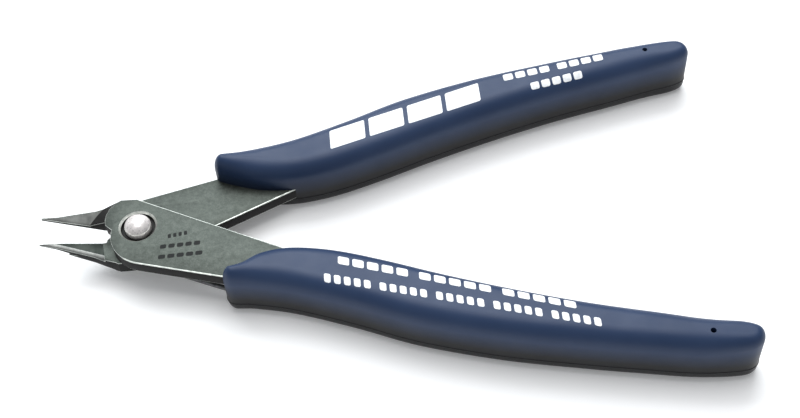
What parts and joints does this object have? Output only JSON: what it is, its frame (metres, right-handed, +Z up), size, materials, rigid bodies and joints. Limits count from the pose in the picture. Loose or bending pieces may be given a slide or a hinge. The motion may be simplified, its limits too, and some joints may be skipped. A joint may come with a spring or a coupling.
{
  "type": "flush cutter",
  "caption": "Hand flush cutter with two lapped steel jaw plates on one rivet, a wire return spring and moulded vinyl grips over the tangs.",
  "frame": {"origin": "middle of the footprint, on the surface that the grips lie on, with the handles open", "axes": "+X from the jaws back along the handles, +Y towards the rear plate's grip, +Z up through the rivet head"},
  "size_m": [0.1256, 0.0728, 0.0114],
  "materials": {
    "plate_steel": "matte blasted",
    "rivet_steel": "polished",
    "spring_wire": "satin",
    "grip_vinyl": "satin"
  },
  "bodies": {
    "front_lever": {"front_plate": "plate_steel", "pivot_rivet": "rivet_steel", "rivet_washer": "plate_steel", "return_spring": "spring_wire", "front_grip": "grip_vinyl"},
    "rear_lever": {"rear_plate": "plate_steel", "rear_grip": "grip_vinyl"}
  },
  "joints": [
    {"name": "lever_pivot", "type": "hinge", "parent": "front_lever", "child": "rear_lever", "pos_m": [-0.04486, 0, 0.0057], "axis": [0, 0, -1], "range_deg": [0, 19], "stiffness_Nm_per_rad": 0.3, "springref_deg": -20.05, "deforming": ["return_spring"]}
  ]
}
